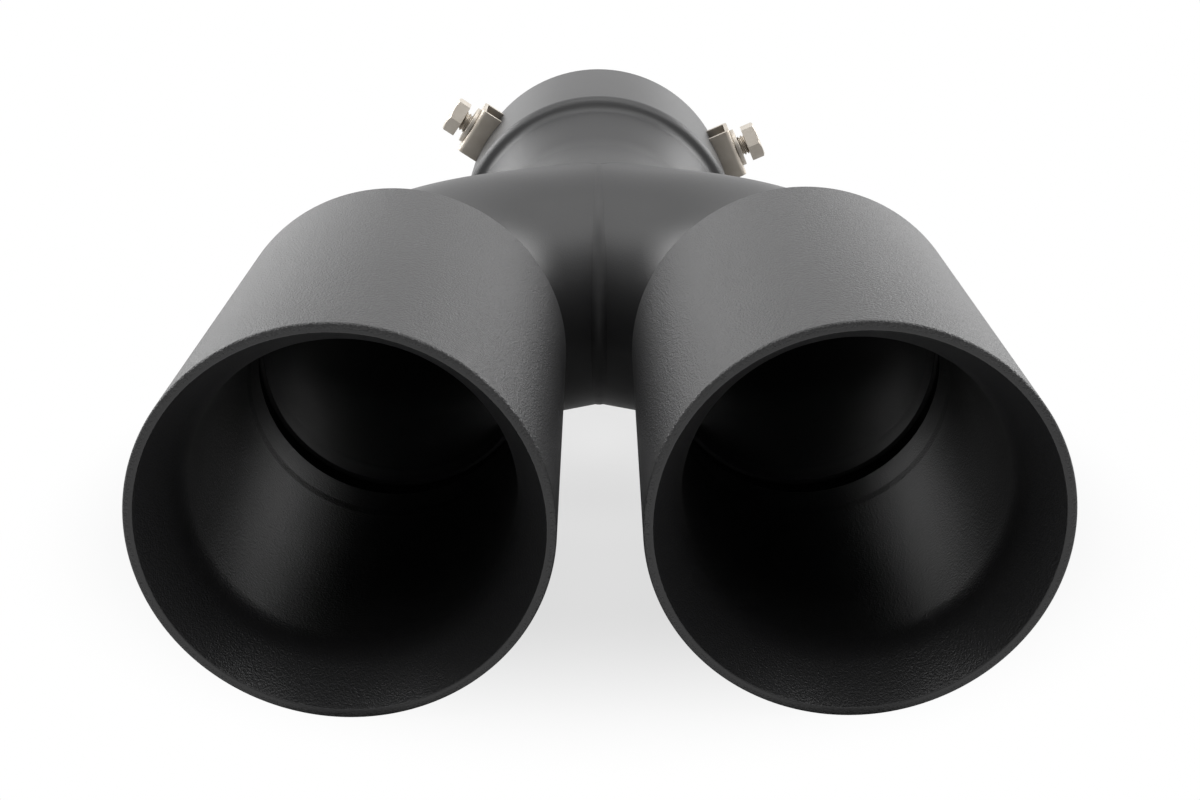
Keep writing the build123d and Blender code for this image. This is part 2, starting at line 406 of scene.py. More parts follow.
def steel_material(name, line_size, roughness, pale, brown):
    """Bare stainless steel with a satin finish."""
    material, tree, shader = new_material(name)
    steel = with_inputs(tree, "ShaderNodeGroup", {
        "Line Size": line_size, "Tint Size": TINT_SIZE,
    }, node_tree=ROLLED_STEEL)
    shader.inputs["Metallic"].default_value = 1.0
    feed(tree, shader.inputs["Base Color"], mix_colours(tree, steel.outputs["Tint"], pale, brown))
    feed(tree, shader.inputs["Roughness"], between(
        tree, steel.outputs["Lines"], roughness - STEEL_GLOSS_SPREAD, roughness + STEEL_GLOSS_SPREAD))
    add_bump(tree, shader, steel.outputs["Lines"], LINE_STRENGTH, LINE_DEPTH)
    return material


TIP_COAT = coat_material("tip_powder_coat", grain_size=0.75 * MM, grain_depth=0.34 * MM, roughness=0.42)
# The liner's coat takes the darker shades above: painted shade inside the mouths
SHADED_LINER_COAT = coat_material(
    "liner_powder_coat", grain_size=0.7 * MM, grain_depth=0.09 * MM, roughness=0.32,
    dark=LINER_SHADED_DARK, pale=LINER_SHADED_PALE,
)
PIPE_COAT = coat_material("pipe_powder_coat", grain_size=0.6 * MM, grain_depth=0.03 * MM, roughness=0.42)
WELD_COAT = coat_material("weld_powder_coat", grain_size=0.5 * MM, grain_depth=0.04 * MM, roughness=0.44)
SHEET_STEEL = steel_material(
    "bracket_stainless", line_size=0.35 * MM, roughness=0.52, pale=SHEET_PALE, brown=SHEET_BROWN,
)
# Darker steel for the nuts: painted shade inside the brackets
SHADED_NUT_STEEL = steel_material(
    "nut_stainless", line_size=0.25 * MM, roughness=0.52, pale=NUT_SHADED_PALE, brown=NUT_SHADED_BROWN,
)
BOLT_STEEL = steel_material(
    "bolt_stainless", line_size=0.25 * MM, roughness=0.48, pale=BOLT_PALE, brown=BOLT_BROWN,
)


# Meshes

def outline(*corners):
    """Points through corners of (across, along), or of (across, along, radius) for a rounded corner."""
    spots = [complex(corner[0], corner[1]) for corner in corners]
    points = [spots[0]]
    for index in range(1, len(corners) - 1):
        spot = spots[index]
        if len(corners[index]) == 2:
            points.append(spot)
            continue
        radius = corners[index][2]
        back = spots[index - 1] - spot
        onward = spots[index + 1] - spot
        half = abs(phase(onward / back)) / 2
        reach = radius / tan(half)
        start = spot + back / abs(back) * reach
        end = spot + onward / abs(onward) * reach
        middle = back / abs(back) + onward / abs(onward)
        centre = spot + middle / abs(middle) * radius / sin(half)
        turn = phase((end - centre) / (start - centre))
        for step in range(ARC_STEPS + 1):
            share = step / ARC_STEPS * turn
            points.append(centre + (start - centre) * complex(cos(share), sin(share)))
    points.append(spots[-1])
    return np.array([(point.real, point.imag) for point in points])


def around(steps):
    """Angles of the columns around a pipe or a rod."""
    return np.linspace(0, 2 * pi, steps, endpoint=False)


def turned(profile, centre_x):
    """Rows of points, one for each (radius, along) of a profile, around a line along Y, from the top."""
    angle = around(TURN_STEPS)
    radius = profile[:, 0, None]
    along = profile[:, 1, None] + 0 * angle
    return np.stack([centre_x + radius * np.sin(angle), along, radius * np.cos(angle)], axis=-1)


def ring_at(angle, radius, height):
    """One row of points around z."""
    return np.stack([radius * np.cos(angle), radius * np.sin(angle), height + 0 * angle], axis=-1)


def skin(rows, columns, closed_rows=True):
    """Faces over a grid of points whose columns close around."""
    faces = []
    for row in range(rows if closed_rows else rows - 1):
        below = row * columns
        above = (row + 1) % rows * columns
        for column in range(columns):
            after = (column + 1) % columns
            faces.append((below + column, below + after, above + after, above + column))
    return faces


def capped_skin(rows, columns):
    """Faces over a grid of points whose columns close around, with one more face at each end."""
    faces = skin(rows, columns, closed_rows=False)
    faces.append(tuple(range(columns)))
    faces.append(tuple(range((rows - 1) * columns, rows * columns)))
    return faces


def turn_outwards(mesh, merge_distance=0.0):
    """Turns a mesh's faces outwards, after its doubled points are merged where a distance is given."""
    work = bmesh.new()
    work.from_mesh(mesh)
    if merge_distance:
        bmesh.ops.remove_doubles(work, verts=work.verts, dist=merge_distance)
    bmesh.ops.recalc_face_normals(work, faces=work.faces)
    work.to_mesh(mesh)
    work.free()


def plain_mesh(name, points, faces):
    mesh = bpy.data.meshes.new(name)
    mesh.from_pydata(points.reshape(-1, 3).tolist(), [], faces)
    return mesh


def new_mesh(name, points, faces):
    """A closed mesh with doubled points merged and its faces turned outwards."""
    mesh = plain_mesh(name, points, faces)
    turn_outwards(mesh, MERGE_DISTANCE)
    return mesh


def ring_mesh(name, grid):
    """A mesh over rows of points that close both ways, such as a tube with a wall."""
    return new_mesh(name, grid, skin(grid.shape[0], grid.shape[1]))


def joined(name, parts):
    """One mesh in place of several."""
    work = bmesh.new()
    for part in parts:
        work.from_mesh(part)
    mesh = bpy.data.meshes.new(name)
    work.to_mesh(mesh)
    work.free()
    for part in parts:
        bpy.data.meshes.remove(part)
    return mesh


def shown_object(name, mesh):
    """A new object in the scene."""
    piece = bpy.data.objects.new(name, mesh)
    bpy.context.scene.collection.objects.link(piece)
    return piece


def add_piece(node, mesh, material):
    """Shows a mesh in place of a CAD node."""
    mesh.materials.clear()
    mesh.materials.append(material)
    mesh.shade_smooth()
    mesh.set_sharp_from_angle(angle=SHARP_ANGLE)
    piece = shown_object(node + "_finish", mesh)
    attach(piece, BODY)
    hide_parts(node)


def hole_cutter(name, places, radius, low, high):
    """One object that holds a closed rod along z at each place, for drilling."""
    rods = []
    for place in places:
        ends = np.array([ring_at(around(DRILL_STEPS), radius, height) for height in (low, high)])
        rod = new_mesh(name, ends, capped_skin(2, DRILL_STEPS))
        rod.transform(place)
        rods.append(rod)
    return shown_object(name, joined(name, rods))


def evaluated(name, mesh, setups):
    """The plain mesh that modifiers make of a mesh. Each setup adds one modifier to the object."""
    carrier = shown_object(name, mesh)
    for setup in setups:
        setup(carrier)
    graph = bpy.context.evaluated_depsgraph_get()
    result = bpy.data.meshes.new_from_object(carrier.evaluated_get(graph))
    bpy.data.objects.remove(carrier)
    return result


def with_tree(tree, **values):
    """A setup that adds a Geometry Nodes modifier with its named inputs set."""
    def setup(carrier):
        modifier = carrier.modifiers.new(tree.name, "NODES")
        modifier.node_group = tree
        for item in tree.interface.items_tree:
            key = item.name.lower().replace(" ", "_")
            if item.in_out == "INPUT" and key in values:
                modifier[item.identifier] = values[key]
    return setup


def with_holes(cutter):
    """A setup that drills a mesh with another object."""
    def setup(carrier):
        modifier = carrier.modifiers.new("holes", "BOOLEAN")
        modifier.operation = "DIFFERENCE"
        modifier.solver = "EXACT"
        modifier.object = cutter
    return setup


def with_broken_edges(width):
    """A setup that breaks the sharp edges of a mesh."""
    def setup(carrier):
        modifier = carrier.modifiers.new("edges", "BEVEL")
        modifier.width = width
        modifier.segments = EDGE_SEGMENTS
        modifier.limit_method = "ANGLE"
        modifier.angle_limit = SHARP_ANGLE
    return setup


def plain_and_coated(tree, geometry, material):
    """The end of a shape's tree: instances made plain, with their material."""
    plain = with_inputs(tree, "GeometryNodeRealizeInstances", {"Geometry": geometry})
    coated = with_inputs(tree, "GeometryNodeSetMaterial", {
        "Geometry": plain.outputs["Geometry"], "Material": material,
    })
    return coated.outputs["Geometry"]


# Tips

def tip_shell(node, centre_x):
    """A straight tube, rounded at the rim."""
    profile = outline(
        (TIP_BORE, MOUTH_Y), (TIP_RADIUS, MOUTH_Y, RIM_ROUND),
        (TIP_RADIUS, TIP_REAR_Y, EDGE_BREAK), (TIP_BORE, TIP_REAR_Y),
    )
    add_piece(node, ring_mesh(node, turned(profile, centre_x)), TIP_COAT)


def inner_liner(node, centre_x):
    """A funnel with a rounded lip that narrows to a tube, with a small step down to its collar.

    Its outside lies on the shell's bore for a short land behind the rim.
    """
    lip_radius = TIP_BORE - LINER_WALL + LINER_LIP
    collar_y = LINER_END_Y - COLLAR_LENGTH
    throat_y = MOUTH_Y + FUNNEL_DEPTH
    inside = outline(
        (TIP_BORE, MOUTH_Y),
        (lip_radius, MOUTH_Y, LIP_ROUND),
        (THROAT_RADIUS, throat_y, FUNNEL_BLEND),
        (LINER_END_RADIUS + COLLAR_STEP, collar_y - COLLAR_STEP_LENGTH, COLLAR_BLEND),
        (LINER_END_RADIUS, collar_y, COLLAR_BLEND),
        (LINER_END_RADIUS, LINER_END_Y, EDGE_BREAK),
        (LINER_END_RADIUS + LINER_WALL, LINER_END_Y),
    )
    outside = outline(
        (LINER_END_RADIUS + LINER_WALL, LINER_END_Y),
        (THROAT_RADIUS + LINER_WALL, throat_y, FUNNEL_BLEND),
        (TIP_BORE, MOUTH_Y + LINER_LAND, LINER_LAND / 2),
        (TIP_BORE, MOUTH_Y),
    )
    profile = np.concatenate([inside, outside[1:-1]])
    # Its coat is darker than the shell's: painted shade inside the mouth
    add_piece(node, ring_mesh(node, turned(profile, centre_x)), SHADED_LINER_COAT)


def rear_cap(node, centre_x):
    """A flat ring between the leg and the shell."""
    profile = np.array([
        (PIPE_RADIUS, CAP_FRONT_Y), (TIP_BORE, CAP_FRONT_Y),
        (TIP_BORE, TIP_REAR_Y), (PIPE_RADIUS, TIP_REAR_Y),
    ])
    add_piece(node, ring_mesh(node, turned(profile, centre_x)), PIPE_COAT)


# Y pipe

def leg_axis(sign):
    """Direction in which a leg leaves the junction."""
    return np.array((sign * sin(LEG_BEND), -cos(LEG_BEND), 0.0))


def meets(points, direction, normal):
    """How far each point goes along a direction to the plane through the junction with that normal."""
    return ((JUNCTION - points) @ normal) / (direction @ normal)


def leg_rows(sign, straight, radius):
    """Rows of points along a leg: its straight end, its bend, and its cut where it meets other pipes."""
    angle = around(TURN_STEPS)
    outward = np.array((float(sign), 0.0, 0.0))
    pivot = np.array((sign * (TIP_X - LEG_BEND_RADIUS), BEND_Y, 0.0))
    end_ring = np.outer(np.sin(angle), outward) + np.outer(np.cos(angle), UP)
    rows = [np.array((sign * TIP_X, y, 0.0)) + end_radius * end_ring for end_radius, y in straight]
    for turn in np.linspace(0, LEG_BEND, BEND_STEPS + 1):
        out = cos(turn) * outward + sin(turn) * NECK_AXIS
        ring = np.outer(np.sin(angle), out) + np.outer(np.cos(angle), UP)
        rows.append(pivot + LEG_BEND_RADIUS * out + radius * ring)
    bend_end = rows[-1]
    inward = -leg_axis(sign)
    to_other_leg = meets(bend_end, inward, leg_axis(sign) - leg_axis(-sign))
    to_neck = meets(bend_end, inward, leg_axis(sign) - NECK_AXIS)
    run = np.minimum(to_other_leg, to_neck)
    for share in np.linspace(0, 1, LEG_STEPS + 1)[1:]:
        rows.append(bend_end + np.outer(share * run, inward))
    return rows


def leg(node, sign):
    """A bent leg, with the faint line inside it where the weld around its end has sunk through."""
    mark_y = TIP_REAR_Y + ROOT_MARK_PLACE
    outer_end = [
        (PIPE_RADIUS - EDGE_BREAK, LEG_FRONT_Y), (PIPE_RADIUS, LEG_FRONT_Y + EDGE_BREAK),
        (PIPE_RADIUS, (LEG_FRONT_Y + BEND_Y) / 2),
    ]
    inner_end = [
        (PIPE_BORE + EDGE_BREAK, LEG_FRONT_Y), (PIPE_BORE, LEG_FRONT_Y + EDGE_BREAK),
        (PIPE_BORE, mark_y - ROOT_MARK_WIDTH), (PIPE_BORE + ROOT_MARK_DEPTH, mark_y),
        (PIPE_BORE, mark_y + ROOT_MARK_WIDTH),
    ]
    outside = leg_rows(sign, outer_end, PIPE_RADIUS)
    inside = leg_rows(sign, inner_end, PIPE_BORE)
    add_piece(node, ring_mesh(node, np.array(outside + inside[::-1])), PIPE_COAT)


def inlet_rows(inset):
    """Rows of points along the inlet pipe's outside, or its inside at an inset of its wall.

    They run from its open end over sleeve, step, cone and neck to the pointed junction.
    """
    cone_y = -SLEEVE_LENGTH - STEP_LENGTH
    neck_y = cone_y - CONE_LENGTH
    pipe = PIPE_RADIUS - inset
    sleeve = SLEEVE_RADIUS - inset
    edge = EDGE_BREAK if inset else -EDGE_BREAK
    cone_radius = SLEEVE_RADIUS - STEP_HEIGHT
    cone_slope = atan2(cone_radius - PIPE_RADIUS, CONE_LENGTH)
    step_slope = atan2(STEP_HEIGHT, STEP_LENGTH)
    foot_inset = inset / cos((cone_slope - step_slope) / 2)
    foot_lean = (cone_slope + step_slope) / 2
    foot_radius = cone_radius - foot_inset * cos(foot_lean)
    foot_y = cone_y + foot_inset * sin(foot_lean)
    line = outline(
        (sleeve + edge, 0),
        (sleeve, -EDGE_BREAK),
        (sleeve, inset * tan(step_slope / 2) - SLEEVE_LENGTH, STEP_OUTER_BLEND - inset),
        (foot_radius, foot_y, STEP_INNER_BLEND + inset),
        (pipe, neck_y + inset * tan(cone_slope / 2), NECK_BLEND + inset),
        (pipe, neck_y - NECK_BLEND * tan(cone_slope / 2)),
    )
    rows = turned(line, 0.0)
    start = rows[-1]
    cut = JUNCTION_Y + np.abs(start[:, 0]) * tan(LEG_BEND / 2) - start[:, 1]
    neck = [start + np.outer(share * cut, NECK_AXIS) for share in np.linspace(0, 1, NECK_STEPS + 1)[1:]]
    return list(rows) + neck


def inlet_pipe(node):
    """Neck, cone, step and sleeve in one tube, with a hole for each set bolt."""
    outside = inlet_rows(0.0)
    inside = inlet_rows(PIPE_WALL)
    tube = ring_mesh(node, np.array(outside + inside[::-1]))
    cutter = hole_cutter(
        "sleeve_holes", [clamp_place(clamp) for clamp in CLAMPS], SLEEVE_HOLE_RADIUS,
        SLEEVE_RADIUS - 2 * PIPE_WALL, SLEEVE_RADIUS + PIPE_WALL,
    )
    mesh = evaluated(node, tube, [with_holes(cutter)])
    bpy.data.objects.remove(cutter)
    add_piece(node, mesh, PIPE_COAT)


# Welds

def ripple_tree():
    """Ripples along a weld bead, low crescents that are strongest on its crown, and slow uneven lumps."""
    number = "NodeSocketFloat"
    geometry = "NodeSocketGeometry"
    tree, given, made = new_tree(
        "weld_ripples", "GeometryNodeTree",
        {"Bead": geometry, "Pitch": number, "Height": number, "Curve": number,
         "Lump Size": number, "Lump Height": number},
        {"Bead": geometry},
    )
    along = with_inputs(tree, "GeometryNodeInputNamedAttribute", {"Name": "along"}, data_type="FLOAT")
    across = with_inputs(tree, "GeometryNodeInputNamedAttribute", {"Name": "across"}, data_type="FLOAT")
    across_squared = calc(tree, "POWER", across.outputs["Attribute"], 2.0)
    count = calc(tree, "DIVIDE", along.outputs["Attribute"], given.outputs["Pitch"])
    wobble = with_inputs(tree, "ShaderNodeTexNoise", {
        "W": calc(tree, "MULTIPLY", count, RIPPLE_WOBBLE_RATE), "Scale": 1.0, "Detail": 1.0,
    }, noise_dimensions="1D")
    curved = calc(tree, "ADD", count, calc(tree, "MULTIPLY", across_squared, given.outputs["Curve"]))
    wavering = calc(tree, "ADD", curved, wobble.outputs["Fac"])
    wave = calc(tree, "SINE", calc(tree, "MULTIPLY", wavering, 2 * pi))
    crown = calc(tree, "SUBTRACT", 1.0, across_squared, clamp=True)
    uneven = with_inputs(tree, "ShaderNodeTexNoise", {
        "Vector": add_node(tree, "GeometryNodeInputPosition").outputs["Position"],
        "Scale": calc(tree, "DIVIDE", 1.0, given.outputs["Lump Size"]), "Detail": 1.0,
    })
    ripple = calc(tree, "MULTIPLY", wave, given.outputs["Height"])
    unevenness = calc(tree, "SUBTRACT", uneven.outputs["Fac"], LUMP_LEVEL)
    lump = calc(tree, "MULTIPLY", unevenness, given.outputs["Lump Height"])
    lift = calc(tree, "MULTIPLY", calc(tree, "ADD", ripple, lump), crown)
    offset = add_node(tree, "ShaderNodeVectorMath", operation="SCALE")
    feed(tree, offset.inputs[0], add_node(tree, "GeometryNodeInputNormal").outputs["Normal"])
    feed(tree, offset.inputs["Scale"], lift)
    moved = with_inputs(tree, "GeometryNodeSetPosition", {
        "Geometry": given.outputs["Bead"], "Offset": offset.outputs["Vector"],
    })
    feed(tree, made.inputs["Bead"], plain_and_coated(tree, moved.outputs["Geometry"], WELD_COAT))
    return tree


RIPPLES = ripple_tree()


def add_weld(node, grid, along, across, ripple_height, closed):
    """A bead with ripples. Its rows of points run along the weld, its columns across it and back."""
    rows, columns = grid.shape[:2]
    mesh = plain_mesh(node, grid, skin(rows, columns) if closed else capped_skin(rows, columns))
    for name, values in (("along", along), ("across", across)):
        attribute = mesh.attributes.new(name, "FLOAT", "POINT")
        attribute.data.foreach_set("value", np.ascontiguousarray(values, dtype=np.float32).ravel())
    turn_outwards(mesh)
    mesh.shade_smooth()
    ripples = with_tree(
        RIPPLES, pitch=RIPPLE_PITCH, height=ripple_height, curve=RIPPLE_CURVE,
        lump_size=LUMP_SIZE, lump_height=LUMP_HEIGHT,
    )
    add_piece(node, evaluated(node, mesh, [ripples]), WELD_COAT)


def seam_weld(node, first, second):
    """The bead along the half ellipse in which two pipes meet."""
    towards = (first + second) / np.linalg.norm(first + second)
    lateral = np.cross(towards, UP)
    half_angle = asin(np.linalg.norm(np.cross(towards, first)))
    reach = PIPE_RADIUS / sin(half_angle) + BEAD_SIDE_HEIGHT - BEAD_RADIUS
    rise = PIPE_RADIUS + BEAD_TOP_HEIGHT - BEAD_RADIUS
    turn = np.linspace(-pi / 2, pi / 2, BEAD_STEPS)[:, None]
    spine = JUNCTION + reach * np.cos(turn) * towards + rise * np.sin(turn) * UP
    outward = np.cos(turn) / reach * towards + np.sin(turn) / rise * UP
    outward /= np.linalg.norm(outward, axis=1, keepdims=True)
    lean = np.linspace(-BEAD_HALF_ARC, BEAD_HALF_ARC, BEAD_COLUMNS)[None, :, None]
    grid = spine[:, None] + BEAD_RADIUS * (np.cos(lean) * outward[:, None] + np.sin(lean) * lateral)
    steps = np.linalg.norm(np.diff(spine, axis=0), axis=1)
    along = np.concatenate([[0.0], np.cumsum(steps)])[:, None] + np.zeros(BEAD_COLUMNS)
    across = np.zeros((BEAD_STEPS, 1)) + np.sin(lean[0, :, 0]) / sin(BEAD_HALF_ARC)
    add_weld(node, grid, along, across, SEAM_RIPPLE, closed=False)


def tip_weld(node, centre_x):
    """The fillet weld around a leg, whose face leans at 45 degrees and bulges as a parabola."""
    share = np.linspace(0, 1, BEAD_COLUMNS - 2)
    bulge = TIP_WELD_BULGE * 4 * share * (1 - share) / 2 ** 0.5
    radius = PIPE_RADIUS + TIP_WELD_LEG * share + bulge
    y = TIP_REAR_Y + TIP_WELD_LEG * (1 - share) + bulge
    radius = np.concatenate([radius, [PIPE_RADIUS + TIP_WELD_LEG / 2, PIPE_RADIUS - WELD_ROOT]])
    y = np.concatenate([y, [TIP_REAR_Y - WELD_ROOT, TIP_REAR_Y - WELD_ROOT]])
    across = np.concatenate([2 * share - 1, [1.0, -1.0]])
    angle = around(BEAD_STEPS)[:, None]
    grid = np.stack([centre_x + radius * np.sin(angle), y + 0 * angle, radius * np.cos(angle)], axis=-1)
    whole_length = RIPPLE_PITCH * round(2 * pi * PIPE_RADIUS / RIPPLE_PITCH)
    along = angle / (2 * pi) * whole_length + 0 * radius
    add_weld(node, grid, along, across + 0 * angle, TIP_WELD_RIPPLE, closed=True)


# Clamps

def bracket(clamp):
    """A folded channel across the sleeve, with its feet coped to the sleeve's curve."""
    node = clamp + "_bracket"
    place = clamp_place(clamp)
    low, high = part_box(node)
    half_width = (high.y - low.y) / 2
    web = span(node, clamp_out(clamp))[1]
    first, last = span(node, place.to_3x3().col[1])
    inner_bend = STRIP_BEND - STRIP
    outside = outline(
        (-half_width, 0), (-half_width, web, STRIP_BEND), (half_width, web, STRIP_BEND), (half_width, 0),
    )
    inside = outline(
        (half_width - STRIP, 0), (half_width - STRIP, web - STRIP, inner_bend),
        (STRIP - half_width, web - STRIP, inner_bend), (STRIP - half_width, 0),
    )
    profile = np.concatenate([outside, inside])
    stations = np.linspace(first, last, BRACKET_STATIONS)
    foot = np.sqrt(SLEEVE_RADIUS ** 2 - stations ** 2)[:, None]
    grid = np.zeros((BRACKET_STATIONS, len(profile), 3))
    grid[:, :, 0] = profile[:, 0]
    grid[:, :, 1] = stations[:, None]
    grid[:, :, 2] = np.where(profile[:, 1] == 0, foot, profile[:, 1])
    channel = new_mesh(node, grid, capped_skin(BRACKET_STATIONS, len(profile)))
    cutter = hole_cutter(
        node + "_hole", [Matrix.Identity(4)], BOLT_HOLE_RADIUS, web - 2 * STRIP, web + STRIP,
    )
    mesh = evaluated(node, channel, [with_holes(cutter), with_broken_edges(STRIP_EDGE)])
    bpy.data.objects.remove(cutter)
    mesh.transform(place)
    add_piece(node, mesh, SHEET_STEEL)


def hexagon_radius(flat_first):
    """Angles around a hexagon and its radius at each, from a flat or from a corner on."""
    angle = around(HEX_STEPS)
    sector = pi / 3
    start = 0.0 if flat_first else sector / 2
    return angle, HEX_FLATS / 2 / np.cos((angle + start + sector / 2) % sector - sector / 2)


def chamfer_drop(radius, face_radius):
    """How far a hexagon's chamfer drops from its face at each angle."""
    return np.maximum(0, radius - face_radius) * HEX_CHAMFER_SLOPE


def nut(clamp):
    """A hexagon nut with chamfered corners and a lead-in at each end of its bore."""
    node = clamp + "_nut"
    low, high = span(node, clamp_out(clamp))
    angle, radius = hexagon_radius(flat_first=True)
    face_radius = HEX_FLATS / 2 * NUT_FACE_SHARE
    drop = chamfer_drop(radius, face_radius)
    rows = [
        ring_at(angle, NUT_BORE_RADIUS, low + NUT_LEAD_IN),
        ring_at(angle, NUT_BORE_RADIUS + NUT_LEAD_IN, low),
        ring_at(angle, face_radius, low),
        ring_at(angle, radius, low + drop),
        ring_at(angle, radius, high - drop),
        ring_at(angle, face_radius, high),
        ring_at(angle, NUT_BORE_RADIUS + NUT_LEAD_IN, high),
        ring_at(angle, NUT_BORE_RADIUS, high - NUT_LEAD_IN),
    ]
    mesh = ring_mesh(node, np.array(rows))
    mesh.transform(clamp_place(clamp))
    # Its darker steel is painted shade inside the bracket's channel
    add_piece(node, mesh, SHADED_NUT_STEEL)


def washer(clamp):
    """A flat washer with rounded edges."""
    node = clamp + "_washer"
    low, high = span(node, clamp_out(clamp))
    box_low, box_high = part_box(node)
    radius = (box_high.y - box_low.y) / 2
    profile = outline(
        (BOLT_HOLE_RADIUS, low), (radius, low, WASHER_EDGE),
        (radius, high, WASHER_EDGE), (BOLT_HOLE_RADIUS, high),
    )
    angle = around(HEX_STEPS)
    mesh = ring_mesh(node, np.array([ring_at(angle, across, height) for across, height in profile]))
    mesh.transform(clamp_place(clamp))
    add_piece(node, mesh, BOLT_STEEL)


def thread_tree():
    """A threaded shank along z from 0 to its length, with a chamfered and closed tip at 0."""
    number = "NodeSocketFloat"
    tree, given, made = new_tree(
        "bolt_thread", "GeometryNodeTree",
        {"Radius": number, "Pitch": number, "Depth": number, "Length": number, "Chamfer": number,
         "Turn Steps": "NodeSocketInt", "Height Steps": "NodeSocketInt"},
        {"Shank": "NodeSocketGeometry"},
    )
    sheet = with_inputs(tree, "GeometryNodeMeshGrid", {
        "Size X": 2 * pi, "Size Y": given.outputs["Length"],
        "Vertices X": calc(tree, "ADD", given.outputs["Turn Steps"], 1.0),
        "Vertices Y": given.outputs["Height Steps"],
    })
    flat = with_inputs(tree, "ShaderNodeSeparateXYZ", {
        "Vector": add_node(tree, "GeometryNodeInputPosition").outputs["Position"],
    })
    turn = flat.outputs["X"]
    height = calc(tree, "ADD", flat.outputs["Y"], calc(tree, "MULTIPLY", given.outputs["Length"], 0.5))
    climb = calc(tree, "DIVIDE", height, given.outputs["Pitch"])
    winds = calc(tree, "SUBTRACT", climb, calc(tree, "DIVIDE", turn, 2 * pi))
    sweep = calc(tree, "MULTIPLY", calc(tree, "FRACT", winds), 2.0)
    flank = calc(tree, "ABSOLUTE", calc(tree, "SUBTRACT", sweep, 1.0))
    groove = with_inputs(tree, "ShaderNodeMapRange", {
        "Value": flank, "From Min": THREAD_CREST_END, "From Max": THREAD_ROOT_START,
    })
    cut = calc(tree, "MULTIPLY", groove.outputs["Result"], given.outputs["Depth"])
    threaded = calc(tree, "SUBTRACT", given.outputs["Radius"], cut)
    tip_radius = calc(tree, "SUBTRACT", given.outputs["Radius"], given.outputs["Chamfer"])
    radius = calc(tree, "MINIMUM", threaded, calc(tree, "ADD", tip_radius, height))
    wrapped = with_inputs(tree, "ShaderNodeCombineXYZ", {
        "X": calc(tree, "MULTIPLY", radius, calc(tree, "COSINE", turn)),
        "Y": calc(tree, "MULTIPLY", radius, calc(tree, "SINE", turn)),
        "Z": height,
    })
    wall = with_inputs(tree, "GeometryNodeSetPosition", {
        "Geometry": sheet.outputs["Mesh"], "Position": wrapped.outputs["Vector"],
    })
    tip = with_inputs(tree, "GeometryNodeMeshCircle", {
        "Vertices": given.outputs["Turn Steps"], "Radius": tip_radius,
    }, fill_type="NGON")
    both = add_node(tree, "GeometryNodeJoinGeometry")
    tree.links.new(wall.outputs["Geometry"], both.inputs["Geometry"])
    tree.links.new(tip.outputs["Mesh"], both.inputs["Geometry"])
    sewn = with_inputs(tree, "GeometryNodeMergeByDistance", {
        "Geometry": both.outputs["Geometry"], "Distance": THREAD_MERGE_DISTANCE,
    })
    feed(tree, made.inputs["Shank"], plain_and_coated(tree, sewn.outputs["Geometry"], BOLT_STEEL))
    return tree


THREAD = thread_tree()


def set_bolt(clamp):
    """A hexagon bolt: a chamfered head, and a shank that is threaded all the way."""
    node = clamp + "_set_bolt"
    tip, top = span(node, clamp_out(clamp))
    underside = top - BOLT_HEAD_HEIGHT
    length = underside - tip
    shank = evaluated(node + "_shank", bpy.data.meshes.new(node), [with_tree(
        THREAD, radius=BOLT_RADIUS, pitch=THREAD_PITCH, depth=THREAD_DEPTH, length=length,
        chamfer=BOLT_TIP_CHAMFER, turn_steps=THREAD_TURN_STEPS,
        height_steps=round(length / THREAD_PITCH * THREAD_STEPS_PER_PITCH),
    )])
    shank.transform(Matrix.Translation((0, 0, tip)))
    turn_outwards(shank)
    angle, radius = hexagon_radius(flat_first=False)
    face_radius = HEX_FLATS / 2 * HEAD_FACE_SHARE
    rows = [
        ring_at(angle, 0.0, underside),
        ring_at(angle, HEX_FLATS / 2 * HEAD_UNDERSIDE_SHARE, underside),
        ring_at(angle, radius - EDGE_BREAK / 2, underside),
        ring_at(angle, radius, underside + EDGE_BREAK / 2),
        ring_at(angle, radius, top - chamfer_drop(radius, face_radius)),
        ring_at(angle, face_radius, top),
        ring_at(angle, 0.0, top),
    ]
    head = new_mesh(node, np.array(rows), skin(len(rows), HEX_STEPS, closed_rows=False))
    mesh = joined(node, [shank, head])
    mesh.transform(clamp_place(clamp))
    add_piece(node, mesh, BOLT_STEEL)


for side, sign in SIDES.items():
    tip_shell(side + "_tip_shell", sign * TIP_X)
    inner_liner(side + "_inner_liner", sign * TIP_X)
    rear_cap(side + "_rear_cap", sign * TIP_X)
    leg(side + "_leg", sign)
    tip_weld(side + "_tip_weld", sign * TIP_X)
inlet_pipe("inlet_pipe")
seam_weld("front_seam_weld", leg_axis(-1), leg_axis(1))
seam_weld("left_seam_weld", leg_axis(-1), NECK_AXIS)
seam_weld("right_seam_weld", leg_axis(1), NECK_AXIS)
for clamp in CLAMPS:
    bracket(clamp)
    nut(clamp)
    washer(clamp)
    set_bolt(clamp)


# Stage: a pale floor under the rims and the lower bolt, a white room, soft light and the camera

def seen_plainly(tree, path):
    """1 where the camera looks straight at a surface or through glass."""
    return calc(tree, "MAXIMUM", path.outputs["Is Camera Ray"], path.outputs["Is Transmission Ray"])


